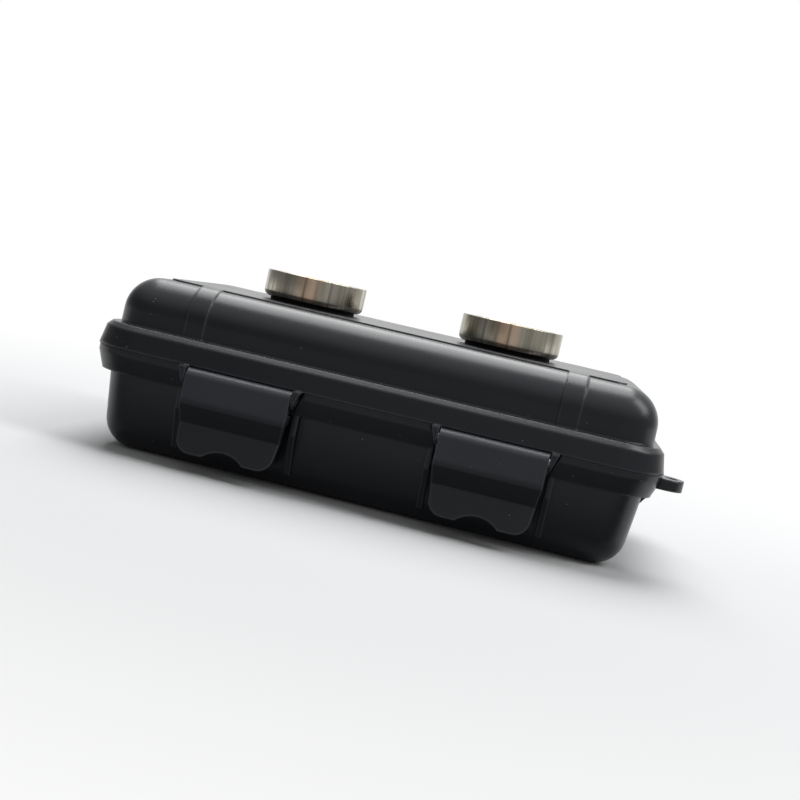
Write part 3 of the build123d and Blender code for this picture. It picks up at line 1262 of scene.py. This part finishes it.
@dataclass
class PotMagnets:
    """The two pot magnets with their pads, screws, washers and nuts, in mm."""

    spacing: float = MAGNET_SPACING
    cup_bottom: float = 44.7
    cup_radius: float = CUP_RADIUS
    cup_height: float = 7.0
    cup_wall: float = 1.6
    cup_floor: float = 2.0
    cup_hole: float = 2.25
    cup_round: float = 1.7
    cup_round_steps: int = 8
    cup_segments: int = 96
    rim_round: float = 0.2
    rim_round_steps: int = 4
    magnet_radius: float = 11.1
    magnet_bore: float = 4.6
    magnet_recess: float = 0.2
    magnet_bevel: float = 0.35
    magnet_segments: int = 80
    lid_roof: float = 41.1
    screw: PanHeadScrew = PanHeadScrew()
    washer: FlatWasher = FlatWasher()
    nut: HexagonNut = HexagonNut()
    row: NodeTool = field(default_factory=row_tool)

    @property
    def axis(self) -> Point:
        """Where the right magnet's axis meets the underside of its cup."""
        return (self.spacing / 2, 0.0, self.cup_bottom)

    def build_cups(self, finishes: Finishes) -> list[Piece]:
        """Make the two steel cups with a round drawn edge and a soft rim.

        Args:
            finishes: the box's finishes.

        Returns:
            The cups.
        """
        outer, inner, edge = self.cup_radius, self.cup_radius - self.cup_wall, self.cup_round
        soft, steps = self.rim_round, self.rim_round_steps
        rim = self.cup_height - soft
        profile: Profile = [(self.cup_hole, 0.0)]
        profile += quarter((outer - edge, edge), edge, -90.0, self.cup_round_steps)
        profile += quarter((outer - soft, rim), soft, 0.0, steps)
        profile += quarter((inner + soft, rim), soft, 90.0, steps)
        profile += [(inner, self.cup_floor), (self.cup_hole, self.cup_floor)]
        pair = TurnedPair(
            "steel_cup", "lid", "nickel_cup", "magnet_cup", self.axis, self.cup_segments,
        )
        return pair.build(profile, finishes.cup)

    def build_magnets(self, finishes: Finishes) -> list[Piece]:
        """Make the two ring magnets with bevelled edges.

        Args:
            finishes: the box's finishes.

        Returns:
            The magnets.
        """
        low, high = self.cup_floor, self.cup_height - self.magnet_recess
        bevel, bore, radius = self.magnet_bevel, self.magnet_bore, self.magnet_radius
        profile: Profile = [
            (bore, low), (radius, low), (radius, high - bevel), (radius - bevel, high),
            (bore + bevel, high), (bore, high - bevel),
        ]
        pair = TurnedPair(
            "ring_magnet", "lid", "magnet_nickel", "magnet_ring", self.axis,
            self.magnet_segments,
        )
        return pair.build(profile, finishes.magnet)

    def set_pair(
        self, name: str, node: str, mesh: Mesh, height: float, turn: float, metal: Material
    ) -> Piece:
        """Set one copy of a small piece at each magnet, in place of the CAD's two.

        Args:
            name: the piece's name.
            node: the CAD nodes' name, without its side.
            mesh: the small piece, its axis on Z.
            height: where its zero height goes, in mm.
            turn: the largest chance angle about its axis, in radians.
            metal: its finish.

        Returns:
            One object with both copies.
        """
        both = self.row.run(mesh, {
            "Count": len(SIDES), "Start": (metres(-self.spacing / 2), 0.0, metres(height)),
            "Step": (metres(self.spacing), 0.0, 0.0), "Turn": turn, "Material": metal,
        })
        pair = finish_mesh(name, both, metal)
        return stand_for(pair, "lid", [f"{node}_{hand}" for hand, _ in SIDES])

    def build_fasteners(self, finishes: Finishes) -> list[Piece]:
        """Make the screws on the cups' floors, and the washers and nuts under the lid's roof.

        Args:
            finishes: the box's finishes.

        Returns:
            The screws, the washers and the nuts.
        """
        metal = finishes.fastener
        seat, under = self.cup_bottom + self.cup_floor, self.lid_roof - self.washer.height
        return [
            self.set_pair(
                "pan_head_screws", "magnet_screw", self.screw.mesh(metal), seat, math.pi, metal,
            ),
            self.set_pair("flat_washers", "washer", self.washer.mesh(metal), under, 0.0, metal),
            self.set_pair("hexagon_nuts", "nut", self.nut.mesh(metal), under, math.pi, metal),
        ]

    def build(self, finishes: Finishes) -> list[Piece]:
        """Make the cups, magnets and fasteners, and dress the pads.

        Args:
            finishes: the box's finishes.

        Returns:
            The pieces.
        """
        return [
            *self.build_cups(finishes),
            *self.build_magnets(finishes),
            *self.build_fasteners(finishes),
            *(dress_node("magnet_pad_" + hand, finishes.pad) for hand, _ in SIDES),
        ]


@dataclass(frozen=True)
class Softbox:
    """A soft area lamp, with its place and size in metres and its power in watts."""

    name: str
    place: Point
    size: Pair
    power: float

    def hang(self, aim: Point) -> None:
        """Add the lamp to the scene.

        Args:
            aim: the point that it faces.
        """
        data = bpy.data.lights.new(self.name, "AREA")
        data.shape, data.energy = "RECTANGLE", self.power
        data.size, data.size_y = self.size
        lamp = bpy.data.objects.new(self.name, data)
        lamp.location = self.place
        ray = Vector(aim) - Vector(self.place)
        lamp.rotation_euler = ray.to_track_quat("-Z", "Y").to_euler()
        bpy.context.scene.collection.objects.link(lamp)


@dataclass
class Studio:
    """A pale floor, a white surround, two softboxes and the camera, with places in metres.

    The camera sees the floor and the surround as they are. Reflections see a surround that is
    darker in front, and in front of the box they see ground that is dark close by and grey
    further off, so that black plastic stays black. Most of the light comes from the lamps, and
    the surround and the ground add a little.
    """

    floor_radius: float = 4.0
    floor_sides: int = 64
    floor_colour: str = "e9eaeb"
    floor_fade: Pair = (0.1, 0.28)
    ground_near_level: float = 0.14
    ground_far_level: float = 0.42
    ground_from_y: Pair = (-0.03, -0.05)
    ground_grey_y: Pair = (-0.062, -0.078)
    world_level: float = 0.2
    front_left_level: float = 0.17
    front_right_level: float = 0.36
    front_high_level: float = 0.9
    left_to_right: Pair = (-0.4, 0.15)
    low_to_high: Pair = (0.25, 0.95)
    front_to_back: Pair = (0.4, 0.9)
    camera_place: Point = (0.0426, -0.33146, 0.0544)
    camera_aim: Point = (0.002, 0.0, 0.025)
    camera_up: Point = (-0.2508, 0.2651, 0.931)
    lens_mm: float = 56.0
    sensor_mm: float = 36.0
    lamps: tuple[Softbox, ...] = (
        Softbox("overhead_softbox", (-0.1, 0.42, 0.9), (0.7, 1.0), 9.2),
        Softbox("side_softbox", (0.65, -0.05, 0.78), (0.35, 0.7), 3.3),
    )

    @staticmethod
    def seen_rays(tree: Tree) -> Socket:
        """Tell the rays that show a thing from those that only light by it.

        Args:
            tree: the node tree of a material or the world.

        Returns:
            One where a ray comes from the camera, a mirror or glass, else nought.
        """
        rays = add_node(tree, "ShaderNodeLightPath")
        first = add_node(tree, "ShaderNodeMath", {
            0: rays.outputs["Is Camera Ray"], 1: rays.outputs["Is Glossy Ray"],
        }, operation="MAXIMUM")
        second = add_node(tree, "ShaderNodeMath", {
            0: first.outputs["Value"], 1: rays.outputs["Is Transmission Ray"],
        }, operation="MAXIMUM")
        return second.outputs["Value"]

    def pale_floor(self, tree: Tree, place: Socket) -> Socket:
        """Make the floor that keeps the box's shadow and is plain white further off.

        Args:
            tree: the floor material's node tree.
            place: the Object coordinates.

        Returns:
            The shader.
        """
        far = add_node(tree, "ShaderNodeVectorMath", {0: place}, operation="LENGTH")
        fade = add_node(tree, "ShaderNodeMapRange", {
            "Value": far.outputs["Value"],
            "From Min": self.floor_fade[0], "From Max": self.floor_fade[1],
        }, interpolation_type="SMOOTHSTEP")
        amount = add_node(tree, "ShaderNodeMath", {
            0: fade.outputs["Result"], 1: self.seen_rays(tree),
        }, operation="MULTIPLY")
        matt = add_node(tree, "ShaderNodeBsdfDiffuse", {"Color": linear(self.floor_colour)})
        white = add_node(tree, "ShaderNodeEmission", {"Strength": 1.0})
        mixed = add_node(tree, "ShaderNodeMixShader", {
            0: amount.outputs["Value"], 1: matt.outputs["BSDF"], 2: white.outputs["Emission"],
        })
        return mixed.outputs["Shader"]

    def dark_ground(self, tree: Tree, place: Socket, pale: Socket) -> Socket:
        """Put a dim ground in the pale floor's place for the rays that light the box.

        Args:
            tree: the floor material's node tree.
            place: the Object coordinates.
            pale: the pale floor's shader.

        Returns:
            The shader, whose ground shows in front to reflections and everywhere to soft light.
        """
        split = add_node(tree, "ShaderNodeSeparateXYZ", {"Vector": place})
        ahead = add_node(tree, "ShaderNodeMapRange", {
            "Value": split.outputs["Y"],
            "From Min": self.ground_from_y[0], "From Max": self.ground_from_y[1],
        }, interpolation_type="SMOOTHSTEP")
        rays = add_node(tree, "ShaderNodeLightPath")
        mirrored = add_node(tree, "ShaderNodeMath", {
            0: ahead.outputs["Result"], 1: rays.outputs["Is Glossy Ray"],
        }, operation="MULTIPLY")
        darkened = add_node(tree, "ShaderNodeMath", {
            0: mirrored.outputs["Value"], 1: rays.outputs["Is Diffuse Ray"],
        }, operation="MAXIMUM")
        graded = add_node(tree, "ShaderNodeMapRange", {
            "Value": split.outputs["Y"],
            "From Min": self.ground_grey_y[0], "From Max": self.ground_grey_y[1],
            "To Min": self.ground_near_level, "To Max": self.ground_far_level,
        }, interpolation_type="SMOOTHSTEP")
        dark = add_node(tree, "ShaderNodeEmission", {"Strength": graded.outputs["Result"]})
        chosen = add_node(tree, "ShaderNodeMixShader", {
            0: darkened.outputs["Value"], 1: pale, 2: dark.outputs["Emission"],
        })
        return chosen.outputs["Shader"]

    def build_floor(self) -> None:
        """Make the floor and leave it out of the object."""
        material = bpy.data.materials.new("pale_studio_floor")
        material.use_nodes = True
        tree = material.node_tree
        tree.nodes.clear()
        place = add_node(tree, "ShaderNodeTexCoord").outputs["Object"]
        surface = self.dark_ground(tree, place, self.pale_floor(tree, place))
        add_node(tree, "ShaderNodeOutputMaterial", {"Surface": surface})
        shape = bmesh.new()
        bmesh.ops.create_circle(
            shape, cap_ends=True, segments=self.floor_sides, radius=self.floor_radius,
        )
        mesh = bpy.data.meshes.new("floor")
        shape.to_mesh(mesh)
        shape.free()
        mesh.materials.append(material)
        floor = bpy.data.objects.new("floor", mesh)
        bpy.context.scene.collection.objects.link(floor)

    def build_world(self) -> None:
        """Light softly from all round, with a white surround behind the box."""
        world = bpy.data.worlds.new("soft_surround")
        bpy.context.scene.world = world
        world.use_nodes = True
        tree = world.node_tree
        tree.nodes.clear()
        place = add_node(tree, "ShaderNodeTexCoord")
        split = add_node(tree, "ShaderNodeSeparateXYZ", {"Vector": place.outputs["Generated"]})
        across = add_node(tree, "ShaderNodeMapRange", {
            "Value": split.outputs["X"],
            "From Min": self.left_to_right[0], "From Max": self.left_to_right[1],
            "To Min": self.front_left_level, "To Max": self.front_right_level,
        }, interpolation_type="SMOOTHSTEP")
        upward = add_node(tree, "ShaderNodeMapRange", {
            "Value": split.outputs["Z"],
            "From Min": self.low_to_high[0], "From Max": self.low_to_high[1],
        }, interpolation_type="SMOOTHSTEP")
        front = add_node(tree, "ShaderNodeMix", {
            "Factor": upward.outputs["Result"],
            "A": across.outputs["Result"], "B": self.front_high_level,
        })
        behind = add_node(tree, "ShaderNodeMapRange", {
            "Value": split.outputs["Y"],
            "From Min": self.front_to_back[0], "From Max": self.front_to_back[1],
        }, interpolation_type="SMOOTHSTEP")
        reflected = add_node(tree, "ShaderNodeMix", {
            "Factor": behind.outputs["Result"], "A": front.outputs["Result"], "B": 1.0,
        })
        level = add_node(tree, "ShaderNodeMix", {
            "Factor": self.seen_rays(tree),
            "A": self.world_level, "B": reflected.outputs["Result"],
        })
        rays = add_node(tree, "ShaderNodeLightPath")
        shown = add_node(tree, "ShaderNodeMix", {
            "Factor": rays.outputs["Is Camera Ray"], "A": level.outputs["Result"], "B": 1.0,
        })
        back = add_node(tree, "ShaderNodeBackground", {
            "Color": linear("ffffff"), "Strength": shown.outputs["Result"],
        })
        add_node(tree, "ShaderNodeOutputWorld", {"Surface": back.outputs["Background"]})

    def build_camera(self) -> None:
        """Set the camera where the photograph was taken from, turned towards the box."""
        data = bpy.data.cameras.new("view")
        data.lens, data.sensor_width = self.lens_mm, self.sensor_mm
        camera = bpy.data.objects.new("view", data)
        back = (Vector(self.camera_place) - Vector(self.camera_aim)).normalized()
        up = Vector(self.camera_up)
        up = (up - up.dot(back) * back).normalized()
        turn = Matrix((up.cross(back), up, back)).transposed()
        camera.matrix_world = Matrix.Translation(self.camera_place) @ turn.to_4x4()
        bpy.context.scene.collection.objects.link(camera)
        bpy.context.scene.camera = camera

    def build(self) -> None:
        """Set up the whole studio."""
        self.build_camera()
        self.build_floor()
        self.build_world()
        for lamp in self.lamps:
            lamp.hang(self.camera_aim)
        bpy.context.scene.view_settings.view_transform = "Standard"


def write_sizes() -> None:
    """Bring the view layer up to date."""
    bpy.context.view_layer.update()


def main() -> None:
    """Build the box's sub-assemblies and the studio round them, and report each piece."""
    logging.basicConfig(level=logging.INFO, format="%(message)s")
    finishes = Finishes.make()
    for part in (Case(), Latches(), PotMagnets()):
        for piece in part.build(finishes):
            finish, faces = piece.material_slots[0].material.name, len(piece.data.polygons)
            log.info("%s: %s, %d faces", piece.name, finish, faces)
    Studio().build()
    log.info("studio ready")
    write_sizes()


if __name__ == "__main__":
    main()
